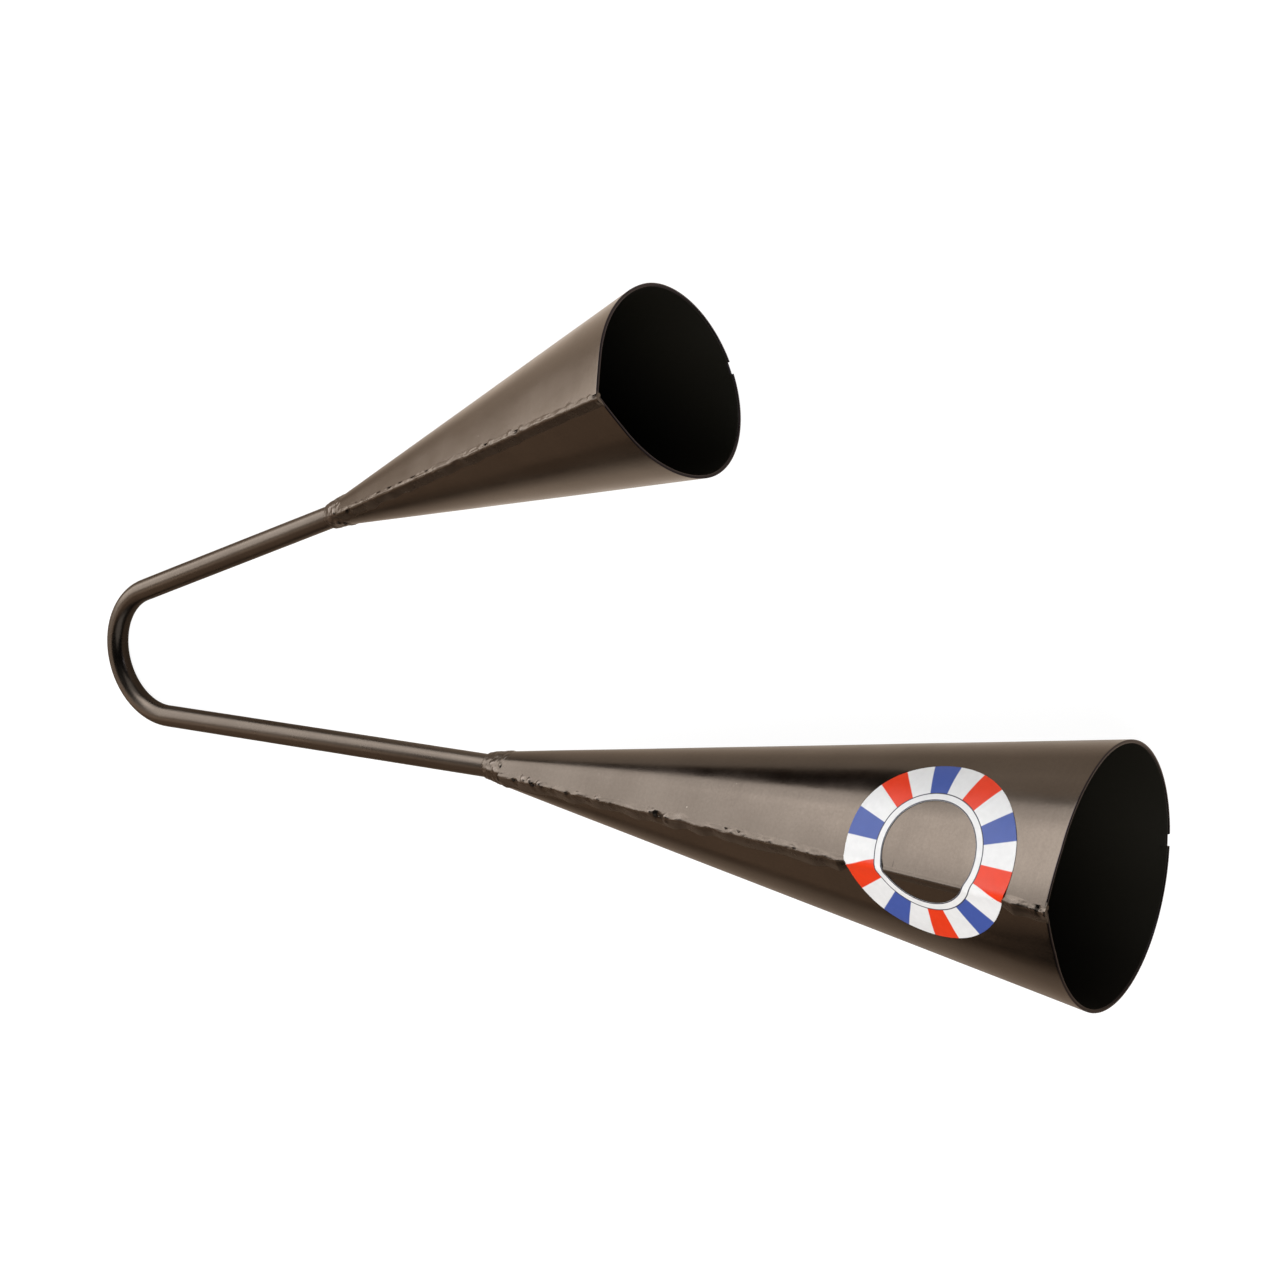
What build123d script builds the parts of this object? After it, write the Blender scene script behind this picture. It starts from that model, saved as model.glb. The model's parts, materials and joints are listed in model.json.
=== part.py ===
"""Agogo bell: two rolled sheet-steel cones of different pitch, welded to one bent handle bar.

Millimetres. The instrument lies on a table with both seams up, touching it at the bend of the bar
and at the two rims. X runs along the middle of the handle, from the bend to the mouths.
"""
import os
from dataclasses import dataclass
from math import atan, atan2, cos, radians, sin, sqrt, tan

from build123d import *

# Handle bar: the legs are measured from the bend to the necks of the bells
BAR_D = 7.94
BEND_R = 24.1
SPREAD = 20.0
LOWER_LEG = 159.7
UPPER_LEG = 108.1
BAR_INSERT = 12.0

# Large bell: a round back, with flats beside the seam that stand out by the rise and blend in over the run
LARGE_LENGTH = 217.6
LARGE_MOUTH_R = 39.8
LARGE_NECK_GAP = 1.0
LARGE_FLANK_ANGLE = 28.0
LARGE_FLANK_RISE = 2.0
LARGE_SHOULDER_RUN = 5.5
LARGE_AXIS_TILT = -1.0
LARGE_SEAM_TURN = 4.0
LARGE_NOTCH_TURN = 5.5
LARGE_COLLAR_ON_BAR = 10.0
LARGE_COLLAR_ON_NECK = 3.0

# Small bell, made the same way
SMALL_LENGTH = 144.9
SMALL_MOUTH_R = 31.7
SMALL_NECK_GAP = 0.15
SMALL_FLANK_ANGLE = 33.8
SMALL_FLANK_RISE = 5.4
SMALL_SHOULDER_RUN = 10.9
SMALL_AXIS_TILT = 0.0
SMALL_SEAM_TURN = -0.5
SMALL_NOTCH_TURN = 1.5
SMALL_COLLAR_ON_BAR = 9.0
SMALL_COLLAR_ON_NECK = 3.0

# Sheet of both bells, the gap between its edges along the seam, and the locating notch in the rim
SHEET = 1.2
SEAM_GAP = 1.0
NOTCH_W = 4.0
NOTCH_DEPTH = 0.7

# Welds: a round bead sunk into the seam, and collars that climb from the bar and wash over the neck
BEAD_R = 1.5
BEAD_SINK = 1.1
COLLAR_TOE = 0.4
COLLAR_TOE_SHARPNESS = 0.3
COLLAR_CROWN = 0.3
COLLAR_END = 0.15

# Label: its middle is measured from the mouth and, round the surface, from the seam
LABEL_R = 29.0
LABEL_WINDOW_R = 15.9
LABEL_FROM_MOUTH = 42.2
LABEL_FROM_SEAM = 7.5
LABEL_THICK = 0.2
LABEL_POINTS = 24

# Room beyond a face for a cutting tool, and the first guess and rounds of settling onto the table
CUT_ROOM = 5.0
FIRST_LEAN = 0.1
SETTLING_ROUNDS = 40


@dataclass
class Bell:
    """One cone of rolled sheet, whose section is a round back, two shoulders and two flats at the seam."""

    name: str
    length: float
    mouth_r: float
    neck_gap: float
    flank_angle: float
    flank_rise: float
    shoulder_run: float
    axis_tilt: float
    seam_turn: float
    notch_turn: float
    collar_on_bar: float
    collar_on_neck: float

    @property
    def neck_r(self):
        """Outer radius of the neck, which clears the bar by neck_gap."""
        return BAR_D / 2 + self.neck_gap + SHEET

    def radius(self, z):
        """Radius of the round back at the distance z from the neck."""
        return self.neck_r + (self.mouth_r - self.neck_r) * z / self.length

    def seam_reach(self, z):
        """Distance from the axis to the seam corner at the distance z from the neck."""
        return Section(self, self.radius(z)).corner[0]


LARGE = Bell(
    name="large",
    length=LARGE_LENGTH,
    mouth_r=LARGE_MOUTH_R,
    neck_gap=LARGE_NECK_GAP,
    flank_angle=LARGE_FLANK_ANGLE,
    flank_rise=LARGE_FLANK_RISE,
    shoulder_run=LARGE_SHOULDER_RUN,
    axis_tilt=LARGE_AXIS_TILT,
    seam_turn=LARGE_SEAM_TURN,
    notch_turn=LARGE_NOTCH_TURN,
    collar_on_bar=LARGE_COLLAR_ON_BAR,
    collar_on_neck=LARGE_COLLAR_ON_NECK,
)
SMALL = Bell(
    name="small",
    length=SMALL_LENGTH,
    mouth_r=SMALL_MOUTH_R,
    neck_gap=SMALL_NECK_GAP,
    flank_angle=SMALL_FLANK_ANGLE,
    flank_rise=SMALL_FLANK_RISE,
    shoulder_run=SMALL_SHOULDER_RUN,
    axis_tilt=SMALL_AXIS_TILT,
    seam_turn=SMALL_SEAM_TURN,
    notch_turn=SMALL_NOTCH_TURN,
    collar_on_bar=SMALL_COLLAR_ON_BAR,
    collar_on_neck=SMALL_COLLAR_ON_NECK,
)


class Section:
    """Cross-section of a bell with a given radius, grown outward by skin, with the seam corner on +X.

    A sharpness below 1 brings it nearer to a circle.
    """

    def __init__(self, bell, radius, skin=0.0, sharpness=1.0):
        rise = bell.flank_rise * sharpness * radius / bell.mouth_r
        run = bell.shoulder_run * sharpness * radius / bell.mouth_r
        self.flat_angle = radians(bell.flank_angle * sharpness)
        self.back_angle = self.flat_angle + 2 * atan(rise / run)
        self.shoulder_r = radius + rise / 2 + run**2 / (2 * rise) + skin
        self.flat_width = (radius + rise) * tan(self.flat_angle) - run
        offset = radius + skin - self.shoulder_r
        self.shoulder_centre = (offset * cos(self.back_angle), offset * sin(self.back_angle))
        self.corner = ((radius + rise + skin) / cos(self.flat_angle), 0)
        self.back = (-radius - skin, 0)

    def shoulder(self, angle):
        """Point of the shoulder arc whose outward direction is at the angle."""
        x, y = self.shoulder_centre
        return (x + self.shoulder_r * cos(angle), y + self.shoulder_r * sin(angle))

    def along(self, distance):
        """Point at a distance round the outline from the seam corner; negative is the -Y side."""
        side = 1 if distance >= 0 else -1
        distance = abs(distance)
        if distance <= self.flat_width:
            x = self.corner[0] - distance * sin(self.flat_angle)
            y = distance * cos(self.flat_angle)
        else:
            x, y = self.shoulder(self.flat_angle + (distance - self.flat_width) / self.shoulder_r)
        return (x, side * y)

    def face(self, z):
        """Face of the section, laid at the height z."""
        middle = (self.flat_angle + self.back_angle) / 2
        upper = [self.shoulder(angle) for angle in (self.flat_angle, middle, self.back_angle)]
        lower = [(x, -y) for x, y in upper]
        with BuildSketch(Plane.XY.offset(z)) as face:
            with BuildLine():
                Line(self.corner, upper[0])
                ThreePointArc(*upper)
                ThreePointArc(upper[2], self.back, lower[2])
                ThreePointArc(*reversed(lower))
                Line(lower[0], self.corner)
            make_face()
        return face.sketch


def cone(bell, skin=0.0, past=0.0):
    """Solid cone of a bell, grown by skin and run past both ends, with its neck at the origin."""
    with BuildPart() as solid:
        loft([Section(bell, bell.radius(z), skin).face(z) for z in (-past, bell.length + past)], ruled=True)
    return solid.part


def wall(bell):
    """Rolled sheet of a bell, closed at the seam."""
    with BuildPart() as sheet:
        add(cone(bell))
        add(cone(bell, -SHEET, CUT_ROOM), mode=Mode.SUBTRACT)
    return sheet.part


def seam_slab(bell):
    """Slab between the two edges of the sheet, on the seam's side of the axis."""
    with BuildPart() as slab:
        with BuildSketch(Plane.XY.offset(-CUT_ROOM)):
            reach = bell.seam_reach(bell.length) + CUT_ROOM
            Rectangle(reach, SEAM_GAP, align=(Align.MIN, Align.CENTER))
        extrude(amount=bell.length + 2 * CUT_ROOM)
    return slab.part


def bead(bell, skin=0.0):
    """Round bead along the seam corner, cut off level with the neck and the mouth."""
    foot = bell.seam_reach(0) - BEAD_SINK
    slope = (bell.seam_reach(bell.length) - bell.seam_reach(0)) / bell.length
    start = Plane(origin=(foot - slope * CUT_ROOM, 0, -CUT_ROOM), z_dir=(slope, 0, 1))
    with BuildPart() as rod:
        with BuildSketch(start):
            Circle(BEAD_R + skin)
        extrude(amount=(bell.length + 2 * CUT_ROOM) * sqrt(1 + slope**2))
        with BuildSketch():
            Circle(bell.seam_reach(bell.length) + BEAD_R + CUT_ROOM)
        extrude(amount=bell.length, mode=Mode.INTERSECT)
    return rod.part


def shell(bell):
    """Bell shell: the rolled sheet with its open seam and the notch about opposite it."""
    with BuildPart() as sheet:
        add(wall(bell))
        add(seam_slab(bell), mode=Mode.SUBTRACT)
        with BuildSketch(Plane.XY.offset(bell.length - NOTCH_DEPTH)):
            with PolarLocations(bell.mouth_r, 1, start_angle=180 + bell.notch_turn):
                Rectangle(4 * SHEET, NOTCH_W)
        extrude(amount=NOTCH_DEPTH + CUT_ROOM, mode=Mode.SUBTRACT)
    return sheet.part


def seam_weld(bell):
    """Weld that fills the open seam and stands up over its corner."""
    with BuildPart() as crown:
        add(bead(bell))
        add(cone(bell, 0, CUT_ROOM), mode=Mode.SUBTRACT)
    with BuildPart() as weld:
        add(wall(bell))
        add(seam_slab(bell), mode=Mode.INTERSECT)
        add(crown.part)
    return weld.part


def neck_weld(bell, bar):
    """Collar of weld that climbs from round the bar to the neck and washes a little way over it."""
    end_z = bell.collar_on_neck
    toe = Section(bell, BAR_D / 2 + COLLAR_TOE, sharpness=COLLAR_TOE_SHARPNESS)
    crown = Section(bell, bell.neck_r, COLLAR_CROWN)
    end = Section(bell, bell.radius(end_z), COLLAR_END)
    with BuildPart() as collar:
        loft([toe.face(-bell.collar_on_bar), crown.face(0), end.face(end_z)], ruled=True)
        add(bar, mode=Mode.SUBTRACT)
        add(cone(bell), mode=Mode.SUBTRACT)
        add(bead(bell), mode=Mode.SUBTRACT)
    return collar.part


def label_outline(bell, plane, radius):
    """Points of a circle wrapped round the bell about the label's middle, seen square to the plane."""
    middle = bell.length - LABEL_FROM_MOUTH
    points = []
    for index in range(LABEL_POINTS):
        angle = radians(360 * index / LABEL_POINTS)
        z = middle + radius * cos(angle)
        x, y = Section(bell, bell.radius(z)).along(-LABEL_FROM_SEAM + radius * sin(angle))
        seen = plane.to_local_coords(Vector(x, y, z))
        points.append((seen.X, seen.Y))
    return points


def label(bell):
    """Thin ring label that lies on the flats and over the seam bead."""
    middle = bell.length - LABEL_FROM_MOUTH
    x, y = Section(bell, bell.radius(middle)).along(-LABEL_FROM_SEAM)
    face = Plane(origin=(x, y, middle), x_dir=(0, 0, 1), z_dir=(cos(atan2(y, x)), sin(atan2(y, x)), 0))
    with BuildPart() as skin:
        add(cone(bell, LABEL_THICK))
        add(bead(bell, LABEL_THICK))
        with BuildSketch(face.offset(-bell.mouth_r / 2)):
            with BuildLine():
                Spline(*label_outline(bell, face, LABEL_R), periodic=True)
            make_face()
            with BuildLine():
                Spline(*label_outline(bell, face, LABEL_WINDOW_R), periodic=True)
            make_face(mode=Mode.SUBTRACT)
        extrude(amount=bell.mouth_r, mode=Mode.INTERSECT)
        add(cone(bell), mode=Mode.SUBTRACT)
        add(bead(bell), mode=Mode.SUBTRACT)
    return skin.part


# Where the legs would meet, the bend and the two necks, with the handle in the XY plane
leg_start = BEND_R / tan(radians(SPREAD / 2))
bend_middle = BEND_R / sin(radians(SPREAD / 2))
lower_way = Vector(1, 0, 0)
upper_way = lower_way.rotate(Axis.Z, SPREAD)
middle_way = lower_way.rotate(Axis.Z, SPREAD / 2)
lower_neck = lower_way * (leg_start + LOWER_LEG)
upper_neck = upper_way * (leg_start + UPPER_LEG)


def bell_plane(bell, neck, leg_way):
    """Plane at a bell's neck, with Z along its axis and X towards its seam."""
    axis = leg_way.rotate(Axis.Z, bell.axis_tilt)
    across = axis.rotate(Axis.Z, 90)
    turn = radians(bell.seam_turn)
    return Plane(origin=neck, x_dir=Vector(0, 0, 1) * cos(turn) + across * sin(turn), z_dir=axis)


large_plane = bell_plane(LARGE, lower_neck, lower_way)
small_plane = bell_plane(SMALL, upper_neck, upper_way)

# Handle bar
with BuildPart() as handle_bar:
    with BuildLine() as route:
        FilletPolyline(
            lower_neck + lower_way * BAR_INSERT,
            (0, 0, 0),
            upper_neck + upper_way * BAR_INSERT,
            radius=BEND_R,
        )
    with BuildSketch(Plane(origin=route.line @ 0, z_dir=route.line % 0)):
        Circle(BAR_D / 2)
    sweep()


def rim_contact(bell, plane, up):
    """Lowest point of a bell's rim."""
    axis = plane.z_dir
    outward = (up - axis * up.dot(axis)).normalized()
    return plane.origin + axis * bell.length - outward * bell.mouth_r


def bend_contact(up):
    """Lowest point of the bend."""
    outward = Vector(up.X, up.Y, 0).normalized()
    return middle_way * bend_middle - outward * BEND_R - up * (BAR_D / 2)


# The table's upward direction, found by settling the three contacts onto it
up = (Vector(0, 0, 1) + middle_way * FIRST_LEAN).normalized()
for _ in range(SETTLING_ROUNDS):
    on_bend = bend_contact(up)
    on_large = rim_contact(LARGE, large_plane, up)
    on_small = rim_contact(SMALL, small_plane, up)
    up = (on_large - on_bend).cross(on_small - on_bend).normalized()
table = Plane(origin=on_bend, x_dir=middle_way - up * middle_way.dot(up), z_dir=up)

# Every piece, with the handle still in the XY plane
pieces = {"handle_bar": handle_bar.part}
for bell, plane in ((LARGE, large_plane), (SMALL, small_plane)):
    bar = plane.to_local_coords(handle_bar.part)
    pieces[f"{bell.name}_bell"] = plane.from_local_coords(shell(bell))
    pieces[f"{bell.name}_seam_weld"] = plane.from_local_coords(seam_weld(bell))
    pieces[f"{bell.name}_neck_weld"] = plane.from_local_coords(neck_weld(bell, bar))
pieces["label"] = large_plane.from_local_coords(label(LARGE))

# Laid on the table, with the origin under the middle of the whole
laid = {name: table.to_local_coords(piece) for name, piece in pieces.items()}
box = Compound(list(laid.values())).bounding_box()
to_origin = Location((-box.center().X, -box.center().Y, -box.min.Z))

os.makedirs("parts", exist_ok=True)
for name, piece in laid.items():
    piece = piece.moved(to_origin)
    piece.label = name
    export_step(piece, f"parts/{name}.step")
    print(name, round(piece.volume, 1), [round(value, 2) for value in piece.bounding_box().size])
print("overall", [round(value, 2) for value in box.size], "up", up)
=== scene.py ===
"""Agogo bell: the painted steel shells, the bent bar, the lumpy welds and the ring label.

Shapes are worked out in millimetres, in the frame of each bell: X from the axis to the seam and Z from
the neck to the mouth. The places of the bells and of the bar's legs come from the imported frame.
"""
import json
from dataclasses import dataclass, field
from math import asin, atan, cos, pi, radians, sin, tan

import bmesh
import bpy
import numpy as np
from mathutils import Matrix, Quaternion, Vector, noise

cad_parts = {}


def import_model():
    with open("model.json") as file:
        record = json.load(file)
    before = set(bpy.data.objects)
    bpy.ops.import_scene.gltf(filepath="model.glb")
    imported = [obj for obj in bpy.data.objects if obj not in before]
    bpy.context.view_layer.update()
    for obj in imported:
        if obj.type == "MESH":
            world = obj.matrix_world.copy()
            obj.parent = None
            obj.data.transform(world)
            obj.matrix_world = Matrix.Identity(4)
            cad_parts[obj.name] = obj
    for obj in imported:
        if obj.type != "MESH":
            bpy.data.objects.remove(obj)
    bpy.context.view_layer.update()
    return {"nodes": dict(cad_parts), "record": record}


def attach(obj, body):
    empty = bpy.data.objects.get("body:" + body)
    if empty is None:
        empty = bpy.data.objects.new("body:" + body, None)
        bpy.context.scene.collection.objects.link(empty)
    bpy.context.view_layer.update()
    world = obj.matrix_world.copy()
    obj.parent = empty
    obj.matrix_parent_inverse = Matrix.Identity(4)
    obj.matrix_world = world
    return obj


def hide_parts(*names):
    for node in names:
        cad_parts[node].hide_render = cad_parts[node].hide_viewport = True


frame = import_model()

MM = 0.001

# Photograph: its frame in pixels, the lens, and where the camera stands
FRAME_PIXELS = 1280
FOCAL_PIXELS = 2500
SENSOR_MM = 36.0
VIEW_AZIMUTH = 99.278
VIEW_ELEVATION = 59.602
VIEW_ROLL = -106.697
VIEW_TARGET = Vector((0.04796, 0.00593, 0.040))
VIEW_DISTANCE = 0.78422

# Bar and sheet, in millimetres
BAR_D = 7.94
BEND_R = 24.1
BAR_INSERT = 12.0
SHEET = 1.2
SEAM_GAP = 1.0
NOTCH_W = 4.0
NOTCH_DEPTH = 0.7
RIM_ROUND = 0.4
FLAT_CROWN = 0.006

# Label
LABEL_R = 29.0
LABEL_WINDOW_R = 15.9
LABEL_RING_R = 18.3
LABEL_FROM_MOUTH = 42.2
LABEL_FROM_SEAM = 7.5
LABEL_THICK = 0.2


def unit(vector):
    """The vector as a numpy array of length 1."""
    vector = np.asarray(vector, float)
    return vector / np.linalg.norm(vector)


def node_points(node):
    """Points of a CAD node, in millimetres."""
    mesh = frame["nodes"][node].data
    flat = np.empty(3 * len(mesh.vertices))
    mesh.vertices.foreach_get("co", flat)
    return flat.reshape(-1, 3) / MM


mounts = {mount["name"]: mount for mount in frame["record"]["mounts"]}


def mount_point(name):
    """Place of a mount, in millimetres."""
    return np.array(mounts[name]["pos_m"]) / MM


def mount_axis(name):
    """Direction of a mount."""
    return unit(mounts[name]["axis"])


@dataclass
class Bell:
    """One bell: the sizes of its section at the mouth, and its place, which the frame gives."""

    name: str
    leg: str
    axis_mount: str
    mouth_r: float
    neck_r: float
    flank_angle: float
    flank_rise: float
    shoulder_run: float
    mouth_crown: float
    notch_turn: float
    collar_on_bar: float
    collar_on_neck: float
    length: float = field(init=False)

    def __post_init__(self):
        """Reads the bell's place from the leg that carries it, its CAD shell and its CAD seam."""
        self.axis = mount_axis(self.axis_mount)
        leg_point = mount_point(self.leg)
        leg_way = mount_axis(self.leg)
        heights = node_points(f"{self.name}_bell") @ self.axis
        self.length = heights.max() - heights.min()
        neck_distance = (heights.min() - leg_point @ self.axis) / (leg_way @ self.axis)
        self.neck = leg_point + leg_way * neck_distance
        seam_way = (node_points(f"{self.name}_seam_weld") - self.neck).mean(axis=0)
        self.seam = unit(seam_way - self.axis * (seam_way @ self.axis))
        self.across = np.cross(self.axis, self.seam)
        self.flat_angle = radians(self.flank_angle)
        self.back_angle = self.flat_angle + 2 * atan(self.flank_rise / self.shoulder_run)

    def radius(self, z):
        """Radius of the round back at the height z."""
        return self.neck_r + (self.mouth_r - self.neck_r) * z / self.length

    def reach(self, z):
        """Distance from the axis to the seam corner at the height z."""
        return self.radius(z) * (1 + self.flank_rise / self.mouth_r) / cos(self.flat_angle)

    def place(self, points):
        """Points of the bell's own frame, moved into the scene, still in millimetres."""
        points = np.asarray(points, float)
        return (
            self.neck
            + points[..., 0:1] * self.seam
            + points[..., 1:2] * self.across
            + points[..., 2:3] * self.axis
        )

    def flat_width(self, radius, skin=0.0):
        """Width of one flat, from the seam corner to the shoulder."""
        scale = radius / self.mouth_r
        reach = radius + self.flank_rise * scale + skin
        return reach * tan(self.flat_angle) - self.shoulder_run * scale

    def crown(self, radius, distance):
        """Height by which the flat bulges at a distance from the seam corner."""
        width = self.flat_width(radius)
        share = min(1.0, distance / width)
        crown = FLAT_CROWN + self.mouth_crown * (radius / self.mouth_r) ** 3
        return crown * width * 4 * share * (1 - share)

    def on_flat(self, radius, skin, distance):
        """Point of the flat at a distance from the seam corner, on the +Y side."""
        bulge = self.crown(radius, distance)
        corner = (radius * (1 + self.flank_rise / self.mouth_r) + skin + bulge) / cos(self.flat_angle)
        away = distance + bulge * tan(self.flat_angle)
        return np.array([corner - away * sin(self.flat_angle), away * cos(self.flat_angle)])

    def shoulder_r(self, radius):
        """Radius of the arc by which a shoulder blends the flat into the round back."""
        scale = radius / self.mouth_r
        rise = self.flank_rise * scale
        run = self.shoulder_run * scale
        return radius + rise / 2 + run**2 / (2 * rise)

    def on_shoulder(self, radius, skin, angle):
        """Point of the shoulder arc that faces the angle, on the +Y side."""
        bare_r = self.shoulder_r(radius)
        offset = radius - bare_r
        return np.array([
            offset * cos(self.back_angle) + (bare_r + skin) * cos(angle),
            offset * sin(self.back_angle) + (bare_r + skin) * sin(angle),
        ])

    def along(self, radius, distance, skin=0.0):
        """Point at a distance round the section from the seam, negative on the -Y side, off by the skin."""
        side = 1 if distance >= 0 else -1
        distance = abs(distance)
        flat = self.flat_width(radius)
        if distance <= flat:
            point = self.on_flat(radius, 0, distance)
            angle = self.flat_angle
        else:
            bare_r = self.shoulder_r(radius)
            angle = self.flat_angle + (distance - flat) / bare_r
            if angle <= self.back_angle:
                point = self.on_shoulder(radius, 0, angle)
            else:
                past = distance - flat - bare_r * (self.back_angle - self.flat_angle)
                angle = self.back_angle + past / radius
                point = radius * np.array([cos(angle), sin(angle)])
        point = point + skin * np.array([cos(angle), sin(angle)])
        return np.array([point[0], side * point[1]])


LARGE = Bell(
    name="large",
    leg="lower_leg",
    axis_mount="large_mouth",
    mouth_r=39.8,
    neck_r=6.17,
    flank_angle=28.0,
    flank_rise=2.0,
    shoulder_run=5.5,
    mouth_crown=0.020,
    notch_turn=5.5,
    collar_on_bar=10.0,
    collar_on_neck=3.0,
)
SMALL = Bell(
    name="small",
    leg="upper_leg",
    axis_mount="upper_leg",
    mouth_r=31.7,
    neck_r=5.32,
    flank_angle=33.8,
    flank_rise=5.4,
    shoulder_run=10.9,
    mouth_crown=0.0,
    notch_turn=1.5,
    collar_on_bar=9.0,
    collar_on_neck=3.0,
)


def rumple(point, size, seed=0.0):
    """Smooth noise from about -1 to 1, whose lumps are about the given size across."""
    return noise.noise(Vector(point) / size + Vector((seed, 1.7 * seed, -seed)))


def quads(rows, columns, close_rows=False, close_columns=False):
    """Faces of a grid of points laid row by row."""
    faces = []
    for row in range(rows if close_rows else rows - 1):
        for column in range(columns if close_columns else columns - 1):
            below = row * columns
            above = (row + 1) % rows * columns
            after = (column + 1) % columns
            faces.append((below + column, below + after, above + after, above + column))
    return faces


def add_piece(name, node, points, faces, materials, attributes=None, sharp=40.0):
    """Makes a mesh piece from points in millimetres, which replaces a CAD node and rides on the frame."""
    mesh = bpy.data.meshes.new(name)
    mesh.from_pydata((np.asarray(points) * MM).tolist(), [], faces)
    for attribute, values in (attributes or {}).items():
        layer = mesh.attributes.new(attribute, "FLOAT", "POINT")
        layer.data.foreach_set("value", np.asarray(values, np.float32).ravel())
    solid = bmesh.new()
    solid.from_mesh(mesh)
    bmesh.ops.recalc_face_normals(solid, faces=solid.faces)
    solid.to_mesh(mesh)
    solid.free()
    mesh.shade_smooth()
    mesh.set_sharp_from_angle(angle=radians(sharp))
    for material in materials:
        mesh.materials.append(material)
    piece = bpy.data.objects.new(name, mesh)
    bpy.context.scene.collection.objects.link(piece)
    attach(piece, "root")
    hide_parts(node)
    return piece


# Materials
PAINT_DARK = (0.085, 0.0695, 0.0575, 1.0)
PAINT_LIGHT = (0.104, 0.0862, 0.0722, 1.0)
PAINT_EDGE = (0.95, 0.88, 0.82, 1.0)
# Painted shade: the inside of the bells is made near black, in place of the shade deep inside them.
INSIDE_PAINTED_SHADE = (0.0090, 0.0082, 0.0062, 1.0)
# Painted shade on the rim face, which is coloured darker than the paint.
RIM_PAINTED_SHADE = (0.024, 0.020, 0.024, 1.0)
SPECK = (0.24, 0.215, 0.19, 1.0)
SCRATCH = (0.034, 0.027, 0.022, 1.0)
# Painted shade in the welds' hollows and painted highlight on their crests, laid on by the relief.
CREVICE_PAINTED_SHADE = (0.022, 0.017, 0.014, 1.0)
CREST_PAINTED_HIGHLIGHT = (0.150, 0.126, 0.110, 1.0)
CREVICE_FROM = -0.28
CREVICE_TO = -0.75
CREST_FROM = 0.12
CREST_TO = 0.45
CLOUD_SHARE = 0.65
TONE_RANGE = (0.35, 0.65)
NOISE_RANGE = (0.3, 0.7)
GLOSSIER = 0.04
DULLER = 0.05
BUMP_HEIGHT = 0.0003
STREAK_SCALE = (0.9, 0.03, 1.0)
SCRATCH_TURN = 0.5
SCRATCH_SCALE = (1.0, 0.10, 1.0)
INSIDE_GLOSS = 0.1
INSIDE_DULLER = 0.25
SPOT_CORE = 0.6


class Nodes:
    """A material's node tree, with short calls for the nodes used here."""

    def __init__(self, name):
        self.material = bpy.data.materials.new(name)
        self.material.use_nodes = True
        self.tree = self.material.node_tree
        self.shader = self.tree.nodes["Principled BSDF"]

    def new(self, kind, **settings):
        """A node with its settings."""
        node = self.tree.nodes.new(kind)
        for name, value in settings.items():
            setattr(node, name, value)
        return node

    def link(self, source, target):
        """Joins an output socket to an input socket."""
        self.tree.links.new(source, target)

    def noise(self, vector, scale, detail=3.0, roughness=0.5):
        """Value of a noise texture."""
        node = self.new("ShaderNodeTexNoise")
        node.inputs["Scale"].default_value = scale
        node.inputs["Detail"].default_value = detail
        node.inputs["Roughness"].default_value = roughness
        self.link(vector, node.inputs["Vector"])
        return node.outputs["Fac"]

    def spread(self, value, low, high, to_low=0.0, to_high=1.0):
        """A value spread from one range to another, and held inside it."""
        node = self.new("ShaderNodeMapRange")
        node.inputs["From Min"].default_value = low
        node.inputs["From Max"].default_value = high
        node.inputs["To Min"].default_value = to_low
        node.inputs["To Max"].default_value = to_high
        self.link(value, node.inputs["Value"])
        return node.outputs["Result"]

    def math(self, operation, first, second=None):
        """Result of a sum; each side is a socket or a number."""
        node = self.new("ShaderNodeMath", operation=operation)
        for socket, value in zip(node.inputs, (first, second)):
            if isinstance(value, (int, float)):
                socket.default_value = value
            elif value is not None:
                self.link(value, socket)
        return node.outputs[0]

    def mix(self, factor, first, second):
        """Colour between two colours; each colour is a socket or four numbers."""
        node = self.new("ShaderNodeMix", data_type="RGBA")
        self.link(factor, node.inputs["Factor"])
        sockets = [socket for socket in node.inputs if socket.type == "RGBA"]
        for socket, value in zip(sockets, (first, second)):
            if isinstance(value, tuple):
                socket.default_value = value
            else:
                self.link(value, socket)
        return [socket for socket in node.outputs if socket.type == "RGBA"][0]

    def attribute(self, name):
        """Value that the piece's mesh holds under a name."""
        return self.new("ShaderNodeAttribute", attribute_name=name).outputs["Fac"]

    def spots(self, vector, scale, size, rarity):
        """Mask of small round spots, in the share of cells that the rarity leaves."""
        node = self.new("ShaderNodeTexVoronoi")
        node.inputs["Scale"].default_value = scale
        self.link(vector, node.inputs["Vector"])
        near = self.spread(node.outputs["Distance"], size, SPOT_CORE * size)
        parts = self.new("ShaderNodeSeparateColor")
        self.link(node.outputs["Color"], parts.inputs["Color"])
        return self.math("MULTIPLY", near, self.math("GREATER_THAN", parts.outputs["Red"], rarity))

    def bump(self, height, strength, distance):
        """Normal bent by a height."""
        node = self.new("ShaderNodeBump")
        node.inputs["Strength"].default_value = strength
        node.inputs["Distance"].default_value = distance
        self.link(height, node.inputs["Height"])
        return node.outputs["Normal"]


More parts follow.
